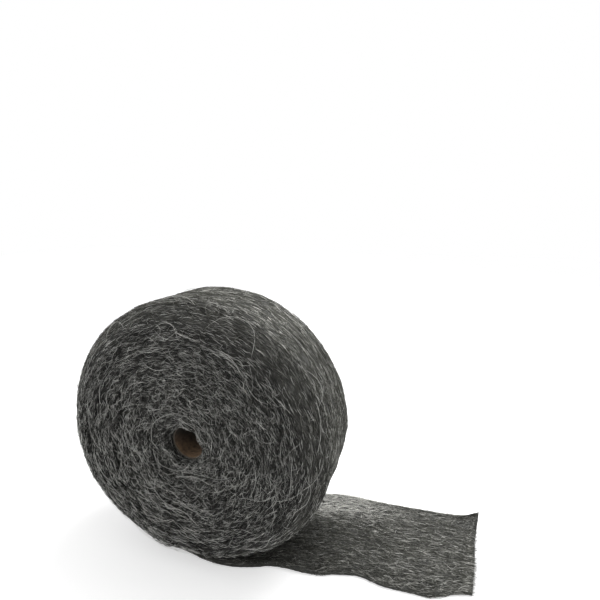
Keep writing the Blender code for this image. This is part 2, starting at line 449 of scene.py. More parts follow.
class Recipe:
    """A material's nodes, laid out by name."""

    def __init__(self, name: str) -> None:
        """Starts a material with its shader.

        Args:
            name: The material's name.
        """
        self.material = bpy.data.materials.new(name)
        self.material.use_nodes = True
        self.tree = self.material.node_tree
        self.shader = self.tree.nodes["Principled BSDF"]

    def add(self, kind: str, **settings: object) -> bpy.types.Node:
        """Adds a node.

        Args:
            kind: The node's type name.
            settings: Values of its attributes, or of its inputs where it has no such attribute.

        Returns:
            The node.
        """
        node = self.tree.nodes.new(kind)
        for key, value in settings.items():
            if hasattr(node, key):
                setattr(node, key, value)
            else:
                node.inputs[key.replace("_", " ").title()].default_value = value
        return node

    def join(self, source: bpy.types.NodeSocket, target: bpy.types.NodeSocket) -> None:
        """Links an output to an input."""
        self.tree.links.new(source, target)

    def ramp(
        self, factor: bpy.types.NodeSocket, stops: list[tuple[float, Colour]]
    ) -> bpy.types.NodeSocket:
        """Colours from a factor.

        Args:
            factor: The output that drives the colours.
            stops: Places and their colours.

        Returns:
            The colour output.
        """
        node = self.add("ShaderNodeValToRGB")
        for index, (place, colour) in enumerate(stops):
            stop = node.color_ramp.elements[index] if index < 2 else node.color_ramp.elements.new(place)
            stop.position, stop.color = place, (*colour, 1.0)
        self.join(factor, node.inputs["Fac"])
        return node.outputs["Color"]

    def calc(self, operation: str, *inputs: bpy.types.NodeSocket | float) -> bpy.types.NodeSocket:
        """Calculates a number.

        Args:
            operation: The operation's name.
            inputs: Outputs or plain numbers, in the operation's order.

        Returns:
            The result.
        """
        node = self.add("ShaderNodeMath", operation=operation)
        for socket, value in zip(node.inputs, inputs):
            if isinstance(value, bpy.types.NodeSocket):
                self.join(value, socket)
            else:
                socket.default_value = value
        return node.outputs["Value"]

    def placed(self, source: bpy.types.NodeSocket, change: str, by: Colour) -> bpy.types.NodeSocket:
        """Moves, turns or stretches coordinates.

        Args:
            source: The coordinates.
            change: Location, Rotation or Scale.
            by: How much along X, Y and Z.

        Returns:
            The new coordinates.
        """
        node = self.add("ShaderNodeMapping")
        node.inputs[change].default_value = by
        self.join(source, node.inputs["Vector"])
        return node.outputs["Vector"]

    def mix(
        self,
        share: bpy.types.NodeSocket | float,
        first: bpy.types.NodeSocket,
        last: bpy.types.NodeSocket | Colour,
        how: str = "MIX",
    ) -> bpy.types.NodeSocket:
        """Mixes two colours.

        Args:
            share: How much of the blend is used.
            first: The colour below.
            last: The colour that is blended in.
            how: The blend's name.

        Returns:
            The mixed colour.
        """
        node = self.add("ShaderNodeMix", data_type="RGBA", blend_type=how)
        amount, below, above = (node.inputs[index] for index in (0, 6, 7))
        self.join(first, below)
        if isinstance(share, bpy.types.NodeSocket):
            self.join(share, amount)
        else:
            amount.default_value = share
        if isinstance(last, bpy.types.NodeSocket):
            self.join(last, above)
        else:
            above.default_value = (*last, 1.0)
        return node.outputs[2]

    def bump(self, height: bpy.types.NodeSocket, strength: float, distance: float) -> None:
        """Roughens the surface.

        Args:
            height: The output that gives the height.
            strength: Share of the bump that is used.
            distance: Its height in metres.
        """
        node = self.add("ShaderNodeBump", strength=strength, distance=distance)
        self.join(height, node.inputs["Height"])
        self.join(node.outputs["Normal"], self.shader.inputs["Normal"])

    def finish(
        self, colour: bpy.types.NodeSocket, roughness: float, metallic: float = 0.0
    ) -> bpy.types.Material:
        """Sets the shader.

        Args:
            colour: The output that gives the base colour.
            roughness: How rough the surface is.
            metallic: How metallic it is.

        Returns:
            The material.
        """
        self.join(colour, self.shader.inputs["Base Color"])
        self.shader.inputs["Roughness"].default_value = roughness
        self.shader.inputs["Metallic"].default_value = metallic
        return self.material


@dataclass(frozen=True)
class MatFinish:
    """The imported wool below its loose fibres: dark, streaked along the strip and rough."""

    dark: Colour = (0.006, 0.006, 0.005)
    middle: Colour = (0.048, 0.048, 0.043)
    light: Colour = (0.240, 0.238, 0.220)
    dark_at: float = 0.36
    middle_at: float = 0.53
    light_at: float = 0.72
    streaks_along: float = 130.0
    streaks_across: float = 1500.0
    streak_detail: float = 4.0
    streak_roughness: float = 0.6
    streak_twist: float = 0.9
    bump_strength: float = 0.8
    bump_height: float = 0.7 * MM
    roughness: float = 0.62
    metallic: float = 0.35

    def material(self) -> bpy.types.Material:
        """Makes the material, which reads the strip's own map in metres.

        Returns:
            The material.
        """
        recipe = Recipe("Matted steel wool")
        strip = recipe.add("ShaderNodeUVMap", uv_map=STRIP_MAP)
        stretch = (self.streaks_along, self.streaks_across, 1.0)
        stretched = recipe.placed(strip.outputs["UV"], "Scale", stretch)
        streaks = recipe.add(
            "ShaderNodeTexNoise",
            scale=1.0,
            detail=self.streak_detail,
            roughness=self.streak_roughness,
            distortion=self.streak_twist,
        )
        recipe.join(stretched, streaks.inputs["Vector"])
        stops = [(self.dark_at, self.dark), (self.light_at, self.light), (self.middle_at, self.middle)]
        colour = recipe.ramp(streaks.outputs["Fac"], stops)
        recipe.bump(streaks.outputs["Fac"], self.bump_strength, self.bump_height)
        return recipe.finish(colour, self.roughness, self.metallic)


@dataclass(frozen=True)
class FibreFinish:
    """Single steel fibres, each with its own tone, brighter and darker along its length."""

    name: str
    dark: Colour = (0.006, 0.006, 0.005)
    middle: Colour = (0.088, 0.088, 0.081)
    light: Colour = (0.860, 0.858, 0.815)
    patch_scale: float = 650.0
    patch_detail: float = 2.0
    patch_depth: float = 0.8
    roughness: float = 0.36
    metallic: float = 0.7

    def material(self) -> bpy.types.Material:
        """Makes the material, which reads each fibre's tone.

        Returns:
            The material.
        """
        recipe = Recipe(self.name)
        tone = recipe.add("ShaderNodeAttribute", attribute_name=TONE)
        place = recipe.add("ShaderNodeTexCoord")
        patches = recipe.add("ShaderNodeTexNoise", scale=self.patch_scale, detail=self.patch_detail)
        recipe.join(place.outputs["Object"], patches.inputs["Vector"])
        patch = patches.outputs["Fac"]
        shift = recipe.calc("MULTIPLY_ADD", patch, self.patch_depth, -self.patch_depth / 2)
        total = recipe.calc("ADD", tone.outputs["Fac"], shift)
        colour = recipe.ramp(total, [(0.0, self.dark), (1.0, self.light), (0.5, self.middle)])
        return recipe.finish(colour, self.roughness, self.metallic)


@dataclass
class WoolMat:
    """The strip as one closed piece: a straight bar, divided along its length and then rolled up."""

    form: StripForm
    # the bar's length is divided into 45 pieces, and each of them into 20
    divisions: tuple[int, int] = (45, 20)
    steps_per_turn: int = 72
    columns_outside: int = 18
    columns_inside: int = 8
    nose_steps: int = 7
    # shares of the baked map: how much of its row a turn takes, and where the two ends of the strip lie
    row_width: float = 0.99
    row_start: float = 0.02
    row_height: float = 0.96
    first_end_at: float = 0.80
    last_end_at: float = 0.92
    end_width: float = 0.05
    end_height: float = 0.4

    def section(self) -> tuple[np.ndarray, np.ndarray]:
        """The closed outline of the strip's section.

        Returns:
            The places across and the depths of its points, in order.
        """
        nose_depth = (1 - np.cos(np.linspace(0, math.pi, self.nose_steps + 2)[1:-1])) / 2
        side = 1 - 2 * self.form.edge_width / self.form.width
        outside = np.linspace(-side, side, self.columns_outside)
        inside = np.linspace(side, -side, self.columns_inside)
        nose = 1 - self.form.nose(nose_depth)
        across = np.concatenate([outside, nose[::-1], inside, -nose])
        above, below = np.ones_like(outside), np.zeros_like(inside)
        return across, np.concatenate([above, nose_depth[::-1], below, nose_depth])

    def build(self) -> bpy.types.Object:
        """Models the strip.

        Returns:
            The piece.
        """
        across, depth = self.section()
        sides, stations = len(across), math.prod(self.divisions)
        bpy.ops.object.select_all(action="DESELECT")
        bpy.ops.mesh.primitive_cylinder_add(
            vertices=sides, radius=1, depth=stations, end_fill_type="NGON"
        )
        bar = bpy.context.object
        bar.name = bar.data.name = "wool_mat"
        divide_lengthwise(bar, self.divisions)
        wound = round(self.form.turns * self.steps_per_turn)
        rest = np.empty(len(bar.data.vertices) * 3, np.float32)
        bar.data.vertices.foreach_get("co", rest)
        rest = rest.reshape(-1, 3)
        station = np.rint(rest[:, 2] + stations / 2).astype(int)
        corner = np.rint(np.arctan2(rest[:, 0], rest[:, 1]) / (2 * math.pi) * sides).astype(int) % sides
        turned = np.where(
            station <= wound,
            station / self.steps_per_turn,
            self.form.turns + (station - wound) / (stations - wound),
        )
        points = self.form.place(turned, across[corner], depth[corner])
        bar.data.vertices.foreach_set("co", points.astype(np.float32).ravel())
        self._map(bar.data, station, corner, stations, sides)
        only(bar)
        bpy.ops.object.mode_set(mode="EDIT")
        bpy.ops.mesh.select_all(action="SELECT")
        bpy.ops.mesh.normals_make_consistent(inside=False)
        bpy.ops.object.mode_set(mode="OBJECT")
        bar.data.shade_smooth()
        bar.data.materials.append(MatFinish().material())
        return bar

    def _map(
        self, mesh: bpy.types.Mesh, station: np.ndarray, corner: np.ndarray, stations: int, sides: int
    ) -> None:
        """Gives the strip its own map in metres and a map to bake through, one row for each turn.

        Args:
            mesh: The strip's mesh.
            station: Each vertex's station along the strip.
            corner: Each vertex's corner of the section.
            stations: The last station.
            sides: How many corners the section has.
        """
        vertex = np.empty(len(mesh.loops), np.int32)
        mesh.loops.foreach_get("vertex_index", vertex)
        first = np.empty(len(mesh.polygons), np.int32)
        count = np.empty(len(mesh.polygons), np.int32)
        mesh.polygons.foreach_get("loop_start", first)
        mesh.polygons.foreach_get("loop_total", count)
        face = np.repeat(np.arange(len(first)), count)
        at, around = station[vertex], corner[vertex]
        low_corner = np.minimum.reduceat(around, first)[face]
        high_corner = np.maximum.reduceat(around, first)[face]
        seam = (high_corner - low_corner > sides / 2) & (around < sides / 2) & (count[face] == 4)
        around = np.where(seam, around + sides, around)
        per_turn = self.steps_per_turn
        length = np.cumsum(2 * math.pi * self.form.outer(np.arange(stations + 1) / per_turn) / per_turn)
        perimeter = 2 * (self.form.width + self.form.thickness)
        cap, turn = count[face] > 4, 2 * math.pi * around / sides
        flat_u = length[at] + self.form.thickness / 2 * np.sin(turn)
        flat_v = self.form.width / 2 * np.cos(turn)
        strip_u = np.where(cap, flat_u, length[at])
        strip_v = np.where(cap, flat_v, around / sides * perimeter)
        set_map(mesh, STRIP_MAP, np.stack([strip_u, strip_v], -1))
        rows = math.ceil(stations / per_turn)
        low_station = np.minimum.reduceat(at, first)[face]
        row = np.minimum(low_station // per_turn, rows - 1)
        u = (at - row * per_turn) / per_turn * self.row_width
        v = (row + self.row_start + self.row_height * around / sides) / rows
        end_at = np.where(at > 0, self.last_end_at, self.first_end_at)
        u = np.where(cap, end_at + self.end_width * np.cos(turn), u)
        v = np.where(cap, (rows - 0.5 + self.end_height * np.sin(turn)) / rows, v)
        set_map(mesh, BAKE_MAP, np.stack([u, v], -1))


class FibreForm:
    """One fibre, modelled once: a thin three-sided spindle that is laid along each fibre's path."""

    tip_radius = 0.1
    taper = 0.9

    def __init__(self, rings: int) -> None:
        """Models the spindle.

        Args:
            rings: How many rings it has between its two tips.
        """
        bpy.ops.object.select_all(action="DESELECT")
        bpy.ops.mesh.primitive_cylinder_add(vertices=3, radius=1, depth=1, end_fill_type="TRIFAN")
        spindle = bpy.context.object
        if rings > 2:
            divide_lengthwise(spindle, (rings - 1,))
        only(spindle)
        bpy.ops.object.mode_set(mode="EDIT")
        bpy.ops.mesh.select_all(action="SELECT")
        bpy.ops.mesh.quads_convert_to_tris()
        bpy.ops.mesh.normals_make_consistent(inside=False)
        bpy.ops.object.mode_set(mode="OBJECT")
        points = np.array([vertex.co for vertex in spindle.data.vertices])
        self.triangles = np.array([list(face.vertices) for face in spindle.data.polygons])
        bpy.data.objects.remove(spindle, do_unlink=True)
        tip = np.hypot(points[:, 0], points[:, 1]) < self.tip_radius
        ring = np.rint((points[:, 2] + 0.5) * (rings - 1)).astype(int) + 1
        self.level = np.where(tip, np.where(points[:, 2] > 0, rings + 1, 0), ring)
        self.profile = points[:, :2] * ~tip[:, None]
        inner = np.linspace(-0.5, 0.5, rings + 2)
        self.places = np.sign(inner) * np.abs(2 * inner) ** self.taper / 2

    def laid(
        self, paths: np.ndarray, normals: np.ndarray, thickness: np.ndarray
    ) -> tuple[np.ndarray, np.ndarray]:
        """Copies of the spindle along many paths.

        Args:
            paths: For each fibre, its points at the spindle's levels.
            normals: For each of those points, the way out of the wool.
            thickness: Each fibre's thickness.

        Returns:
            The vertices and the triangles of all copies.
        """
        along = unit(np.gradient(paths, axis=1))
        sideways = unit(np.cross(along, normals))
        outward = np.cross(sideways, along)
        level, profile = self.level, self.profile
        offset = profile[None, :, :1] * sideways[:, level] + profile[None, :, 1:] * outward[:, level]
        vertices = paths[:, level] + offset * (thickness / 2)[:, None, None]
        start = np.arange(len(paths))[:, None, None] * len(level)
        return vertices.reshape(-1, 3), (self.triangles[None] + start).reshape(-1, 3)


@dataclass(frozen=True)
class Nap:
    """How the fibres lie on one stretch of the wool.

    A fibre's heading is its angle from the strip's run, in radians. spread is how much the headings
    vary, wild the share of fibres that lie anyhow, up to the angle wildest, and bow how far a fibre
    bends, as a share of its length. One steeper than steep is shortened. lift and arch raise the
    fibres, sunk lowers them all, and flicked is the share with one end up. clinging is the share that
    follows every hollow. tones runs from 0, dark, to 1, light, and bright is the share of light ones.
    floor_gap keeps a fibre's middle off the table, in its thicknesses.
    """

    name: str
    count: int
    seed: int
    length: Range
    thickness: Range
    spread: float
    wild: float
    bow: float
    lift: Range
    tones: Range
    arch: float = 0.6 * MM
    bright: float = 0.05
    bright_tones: Range = (0.8, 1.0)
    clinging: float = 0.5
    wildest: float = 1.5
    steep: float = 0.9
    steep_length: float = 0.6
    flicked: float = 0.12
    flick: Range = (0.3, 1.0)
    flick_height: float = 0.12
    sunk: float = 0.1 * MM
    floor_gap: float = 0.6


@dataclass
class FibreCoat:
    """Fibres laid over a stretch of the strip.

    A fibre's middle has a place along the strip, turned, and a place over the surface, crosswise to it.
    """

    form: StripForm
    nap: Nap
    fibre: FibreForm
    material: bpy.types.Material
    chance: np.random.Generator = field(init=False)
    step: float = 1e-3
    slowest: float = 1e-3
    spot_size: float = 0.4

    def __post_init__(self) -> None:
        """Seeds the coat's own chance."""
        self.chance = np.random.default_rng(self.nap.seed)

    def surface(self, turned: np.ndarray, place: np.ndarray, cling: np.ndarray) -> np.ndarray:
        """Points of the surface that the fibres lie on.

        Args:
            turned: Place along the strip.
            place: Place over the surface, crosswise to the strip.
            cling: How closely a fibre follows the hollows.

        Returns:
            Points of the surface.
        """
        raise NotImplementedError

    def starts(self) -> tuple[np.ndarray, np.ndarray]:
        """The middle of each fibre, as places along the strip and over the surface."""
        raise NotImplementedError

    def outward(self, points: np.ndarray) -> np.ndarray:
        """Headings on the surface's outer side: here, away from the axis."""
        return unit(points * [1, 0, 1] - [0, 0, self.form.axis_height])

    def unrest(self, turned: np.ndarray, place: np.ndarray) -> np.ndarray:
        """How much of the nap's unruliness each fibre has."""
        return np.ones_like(turned)

    def sheen(self, turned: np.ndarray, place: np.ndarray) -> np.ndarray:
        """The painted sheen that each fibre's place adds to its tone, none here."""
        return np.zeros_like(turned)

    def build(self) -> bpy.types.Object:
        """Lays the fibres.

        Returns:
            The piece.
        """
        nap, chance, count = self.nap, self.chance, self.nap.count
        turned, place = self.starts()
        cling = np.where(chance.random(count) < nap.clinging, 1.0, chance.random(count))[:, None]
        unrest = self.unrest(turned, place)
        heading = chance.normal(0, nap.spread, count)
        anyhow = chance.random(count) < nap.wild * unrest
        heading = np.where(anyhow, chance.uniform(-nap.wildest, nap.wildest, count), heading * unrest)
        length = chance.uniform(*nap.length, count)
        length = length * np.where(np.abs(heading) > nap.steep, nap.steep_length, 1.0)
        run, cross = self._bent(heading, length, chance.normal(0, nap.bow, count))
        pace_along, pace_across = self._paces(turned[:, None], place[:, None], cling)
        along = turned[:, None] + run / np.maximum(pace_along, self.slowest)
        over = place[:, None] + cross / np.maximum(pace_across, self.slowest)
        points, normals = self.lie(along, over, cling)
        paths = points + normals * self._rise(length)[..., None]
        thickness = chance.uniform(*nap.thickness, count)
        paths[..., 2] = np.maximum(paths[..., 2], thickness[:, None] * nap.floor_gap)
        vertices, triangles = self.fibre.laid(paths, normals, thickness)
        piece = new_mesh_object(nap.name, vertices, triangles)
        tone = chance.uniform(*nap.tones, count)
        is_bright = chance.random(count) < nap.bright
        tone = np.where(is_bright, chance.uniform(*nap.bright_tones, count), tone)
        # each fibre's own tone, with the painted sheen of its place added
        self._tint(piece.data, tone + self.sheen(turned, place))
        piece.data.materials.append(self.material)
        return piece

    def _paces(
        self, turned: np.ndarray, place: np.ndarray, cling: np.ndarray
    ) -> tuple[np.ndarray, np.ndarray]:
        """How many metres one unit of each place is worth.

        Args:
            turned: Places along the strip.
            place: Places over the surface.
            cling: How closely each fibre follows the hollows.

        Returns:
            The metres along the strip and across it.
        """
        there = self.surface(turned, place, cling)
        further = self.surface(turned + self.step, place, cling)
        aside = self.surface(turned, place + self.step, cling)
        pace_along = np.linalg.norm(further - there, axis=-1) / self.step
        return pace_along, np.linalg.norm(aside - there, axis=-1) / self.step

    def _bent(
        self, heading: np.ndarray, length: np.ndarray, bow: np.ndarray
    ) -> tuple[np.ndarray, np.ndarray]:
        """The fibres drawn flat, each in a bow round its middle.

        Args:
            heading: Each fibre's heading.
            length: Each fibre's length.
            bow: How far it bends.

        Returns:
            For each fibre, the metres along the strip and across it at the spindle's levels.
        """
        levels = self.fibre.places
        bent = (1 - 4 * levels**2)[None, :] * bow[:, None]
        cosine, sine = np.cos(heading)[:, None], np.sin(heading)[:, None]
        run = length[:, None] * (levels[None, :] * cosine - bent * sine)
        return run, length[:, None] * (levels[None, :] * sine + bent * cosine)

    def _rise(self, length: np.ndarray) -> np.ndarray:
        """How far the fibres stand off the surface.

        Args:
            length: Each fibre's length.

        Returns:
            For each fibre, the height at the spindle's levels.
        """
        nap, chance, count, levels = self.nap, self.chance, self.nap.count, self.fibre.places
        base = chance.uniform(*nap.lift, count)[:, None]
        arch = np.abs(chance.normal(0, nap.arch, count))[:, None] * (1 - 4 * levels**2)[None, :]
        flicked = chance.random(count) < nap.flicked
        flick = np.where(flicked, chance.uniform(*nap.flick, count), 0.0) * length * nap.flick_height
        return base + arch + flick[:, None] * np.clip(levels * 2, 0, 1)[None, :] ** 2 - nap.sunk

    def lie(
        self, along: np.ndarray, over: np.ndarray, cling: np.ndarray
    ) -> tuple[np.ndarray, np.ndarray]:
        """Points under the fibres, and the way out of the wool there.

        Args:
            along: Places along the strip.
            over: Places over the surface.
            cling: How closely each fibre follows the hollows.

        Returns:
            The points and the normals.
        """
        step = 2 * self.step
        points = self.surface(along, over, cling)
        forward = self.surface(along + step, over, cling) - self.surface(along - step, over, cling)
        sideways = self.surface(along, over + step, cling) - self.surface(along, over - step, cling)
        normals = unit(np.cross(forward, sideways))
        flip = (normals * self.outward(points)).sum(-1, keepdims=True) < 0
        return points, np.where(flip, -normals, normals)

    def _tint(self, mesh: bpy.types.Mesh, tone: np.ndarray) -> None:
        """Gives each fibre its tone, and its own spot on the map to bake through.

        Args:
            mesh: The fibres' mesh.
            tone: One number for each fibre.
        """
        corners = len(self.fibre.level)
        values = mesh.attributes.new(TONE, "FLOAT", "POINT")
        values.data.foreach_set("value", np.repeat(tone, corners).astype(np.float32))
        vertex = np.empty(len(mesh.loops), np.int32)
        mesh.loops.foreach_get("vertex_index", vertex)
        which, corner = vertex // corners, vertex % corners
        side = math.ceil(math.sqrt(len(tone)))
        turn = 2 * math.pi * corner / corners
        cell = np.stack([which % side, which // side], -1)
        spot = cell + 0.5 + self.spot_size * np.stack([np.cos(turn), np.sin(turn)], -1)
        set_map(mesh, BAKE_MAP, spot / side)


@dataclass
class FaceCoat(FibreCoat):
    """Fibres on a face of the roll, over the edges of its turns.

    A place between 0 and 1 goes through a turn's thickness, and a greater one lies on the next turns or
    beyond the rim.
    """

    side: Side = Side.FRONT
    lean: float = 0.5
    over_rim_share: float = 0.6
    over_rim_reach: float = 3.2
    over_rim_power: float = 1.5
    rim_unrest: float = 0.3
    core_unrest: float = 1.25
    calming: float = 0.65
    combing: float = 0.4
    combed_from: float = 0.35
    combed_over: float = 0.45
    # painted sheen, added to the fibres' tones towards the core
    core_sheen: float = 0.1

    def outward(self, points: np.ndarray) -> np.ndarray:
        """Out of the face, and away from the axis."""
        return super().outward(points) * self.lean + [0.0, self.side.value, 0.0]

    def starts(self) -> tuple[np.ndarray, np.ndarray]:
        """Spreads the middles evenly over the face, and some of the last turn's over the rim.

        Returns:
            The places along the strip and over the surface.
        """
        form, count = self.form, self.nap.count
        low, high = form.outer(0.0), form.outer(form.turns)
        radius = np.sqrt(self.chance.uniform(low**2, high**2, count))
        turned, place = (radius - low) / form.pitch, self.chance.random(count)
        over_rim = (turned > form.turns - 1) & (self.chance.random(count) < self.over_rim_share)
        reach = self.over_rim_reach * self.chance.random(count) ** self.over_rim_power
        return turned, np.where(over_rim, place + reach, place)

    def unrest(self, turned: np.ndarray, place: np.ndarray) -> np.ndarray:
        """Wildest near the core, combed along the turns further out, and calm beyond the rim.

        Args:
            turned: Places along the strip.
            place: Places over the surface.

        Returns:
            A factor for each fibre.
        """
        wound = turned / self.form.turns
        combed = self.combing * eased((wound - self.combed_from) / self.combed_over)
        return np.where(place > 1, self.rim_unrest, self.core_unrest - self.calming * wound - combed)

    def sheen(self, turned: np.ndarray, place: np.ndarray) -> np.ndarray:
        """Painted sheen, brighter towards the core, where the face is combed less."""
        return self.core_sheen * (1 - turned / self.form.turns)

    def surface(self, turned: np.ndarray, place: np.ndarray, cling: np.ndarray) -> np.ndarray:
        """Points on the turns' edges.

        Args:
            turned: Places along the strip.
            place: Places through a turn's thickness. One past it lies on the next turn.
            cling: How closely each fibre follows the rounded edge.

        Returns:
            Points of the surface.
        """
        form = self.form
        turned, place, cling = np.broadcast_arrays(turned, place, cling)
        hop = np.floor(place)
        hop = np.where(turned + hop > form.turns, np.floor(form.turns - turned), hop)
        hop = np.where(turned + hop < 0, 0, hop)
        turned, depth = turned + hop, place - hop
        beyond = np.maximum(depth - 1, 0) * form.thickness / (form.width / 2)
        depth = np.clip(depth, 0.0, 1.0)
        across = self.side.value * (1 - cling * form.nose(depth) - beyond)
        return form.place(np.minimum(turned, form.turns), across, depth)


@dataclass
class BackCoat(FaceCoat):
    """Fibres on the roll's back face."""

    side: Side = Side.BACK


@dataclass
class MouthCoat(FibreCoat):
    """Fibres round the mouth of the bore, on the face and down to the core.

    A place below 0 lies inside the bore and one above 0 on the face.
    """

    side: Side = Side.FRONT
    reach: float = 8.0 * MM
    depth: float = 6.5 * MM
    bore_gap: float = 0.2 * MM
    bore_gap_rate: float = 4.0
    edge_round: float = 0.8 * MM
    lean: float = 0.9

    def outward(self, points: np.ndarray) -> np.ndarray:
        """Out of the face and towards the axis."""
        return np.array([0.0, float(self.side.value), 0.0]) - self.lean * super().outward(points)

    def starts(self) -> tuple[np.ndarray, np.ndarray]:
        """Middles round the mouth, part of them inside the bore."""
        return self.chance.random(self.nap.count), self.chance.uniform(-1.0, 1.0, self.nap.count)

    def surface(self, turned: np.ndarray, place: np.ndarray, cling: np.ndarray) -> np.ndarray:
        """Points round the mouth.

        Args:
            turned: Places round the bore, as shares of a whole turn.
            place: Places from the core, at -1, out over the face, at 1.
            cling: How closely each fibre follows the mouth's edge.

        Returns:
            Points of the surface.
        """
        form = self.form
        turned, place, cling = np.broadcast_arrays(turned, place, cling)
        within = np.clip(-self.bore_gap_rate * place, 0, 1)
        radius = form.bore_radius + self.reach * np.maximum(place, 0) - self.bore_gap * within
        half = form.half_width(np.maximum(radius, form.bore_radius)) - self.edge_round * cling
        half = half + self.depth * np.minimum(place, 0)
        return form.slumped(radius, turned * 2 * math.pi, self.side.value * half)


@dataclass
class RoundCoat(FibreCoat):
    """Fibres on a stretch of the outermost turn's outer side."""

    first: float = 0.0
    last: float = 1.0
    covered: float = 1.02
    tuck: float = 0.7
    edge_rate: float = 4.0
    edge_fall: float = 0.6

    def starts(self) -> tuple[np.ndarray, np.ndarray]:
        """Spreads the middles evenly between two places on the last turn.

        Returns:
            The places along the strip and across it.
        """
        count = self.nap.count
        low = self.form.turns - self.covered
        turned = low + self.covered * self.chance.uniform(self.first, self.last, count)
        return turned, self.chance.uniform(-1, 1, count)

    def surface(self, turned: np.ndarray, place: np.ndarray, cling: np.ndarray) -> np.ndarray:
        """Points on the outer side, rounded over its long edges.

        Args:
            turned: Places along the strip.
            place: Places across the strip.
            cling: Not used here, because this side has no hollows.

        Returns:
            Points of the surface.
        """
        form = self.form
        turned, place, cling = np.broadcast_arrays(turned, place, cling)
        reach = 1 - 2 * form.edge_width / form.width
        past = np.maximum(np.abs(place) - reach, 0)
        across = np.sign(place) * np.minimum(np.abs(place), reach + past * self.tuck)
        depth = 1 - np.clip(past * self.edge_rate, 0, 1) ** 2 * self.edge_fall
        return form.place(np.minimum(turned, form.turns), across, depth)


@dataclass
class LooseEndCoat(FibreCoat):
    """Fibres on the upper side of the loose end."""

    # painted light on the fibres' tones: a painted highlight along the far edge near the roll that fades
    # towards the cut end, a little at the near edge, and more towards the cut end, away from the roll.
    # shade lowers them all by one amount
    far_sheen: float = 1.1
    far_from: float = -0.05
    far_over: float = 0.95
    far_fade_from: float = 0.42
    far_fade_over: float = 0.42
    near_sheen: float = 0.08
    near_from: float = 0.4
    near_over: float = 0.4
    end_sheen: float = 0.28
    end_from: float = 0.25
    end_over: float = 0.6
    shade: float = 0.22
    edge_share: float = 0.14
    edge_place: Range = (0.92, 1.07)
    first_share: float = 0.02
    flat_until: float = 0.96
    edge_rate: float = 8.0
    past_roll: float = 1e-4

    def sheen(self, turned: np.ndarray, place: np.ndarray) -> np.ndarray:
        """Painted sheen: a painted highlight at the far edge near the roll, and painted light a little
        at the near edge and towards the cut end.

        Args:
            turned: Places along the strip.
            place: Places across it.

        Returns:
            What is added to each fibre's tone.
        """
        share = turned - self.form.turns
        far = self.far_sheen * eased((place - self.far_from) / self.far_over)
        far = far * (1 - eased((share - self.far_fade_from) / self.far_fade_over))
        near = self.near_sheen * eased((-place - self.near_from) / self.near_over)
        end = self.end_sheen * eased((share - self.end_from) / self.end_over)
        return far + near + end - self.shade

    def outward(self, points: np.ndarray) -> np.ndarray:
        """Upwards."""
        return np.array([0.0, 0.0, 1.0])

    def starts(self) -> tuple[np.ndarray, np.ndarray]:
        """Spreads the middles over the upper side, with more of them along its edges.

        Returns:
            The places along the strip and across it.
        """
        count = self.nap.count
        place = self.chance.uniform(-1.0, 1.0, count)
        at_edge = np.sign(place) * self.chance.uniform(*self.edge_place, count)
        place = np.where(self.chance.random(count) < self.edge_share, at_edge, place)
        return self.form.turns + self.chance.uniform(self.first_share, 1.0, count), place

    def surface(self, turned: np.ndarray, place: np.ndarray, cling: np.ndarray) -> np.ndarray:
        """Points on the upper side, down over the long edges.

        Args:
            turned: Places along the strip.
            place: Places across it.
            cling: Not used here, because this side has no hollows.

        Returns:
            Points of the surface.
        """
        form = self.form
        turned, place, cling = np.broadcast_arrays(turned, place, cling)
        past = np.maximum(np.abs(place) - self.flat_until, 0)
        depth = np.clip(past * self.edge_rate, 0, 1)
        across = np.clip(place, -1.0, 1.0)
        return form.place(np.maximum(turned, form.turns + self.past_roll), across, depth)


@dataclass
class CutCoat(LooseEndCoat):
    """Frayed fibres at the cut end, sticking out from its whole thickness."""

    # the cut fibres take the loose end's painted sheen too
    at_cut: Range = (0.975, 0.997)

    def starts(self) -> tuple[np.ndarray, np.ndarray]:
        """Middles close to the cut."""
        turned = self.form.turns + self.chance.uniform(*self.at_cut, self.nap.count)
        return turned, self.chance.uniform(-1.0, 1.0, self.nap.count)

    def surface(self, turned: np.ndarray, place: np.ndarray, cling: np.ndarray) -> np.ndarray:
        """Points through the cut end's thickness, and straight on past the cut.

        Args:
            turned: Places along the strip.
            place: Places across it.
            cling: How deep each fibre lies, from 0 below to 1 on top.

        Returns:
            Points of the surface.
        """
        form = self.form
        turned, place, cling = np.broadcast_arrays(turned, place, cling)
        past = np.maximum(turned - form.turns - 1, 0)
        points = form.place(turned, np.clip(place, -1.0, 1.0), 1 - cling)
        points[..., 0] += past * (form.tail_length + form.flat_spot / 2)
        return points


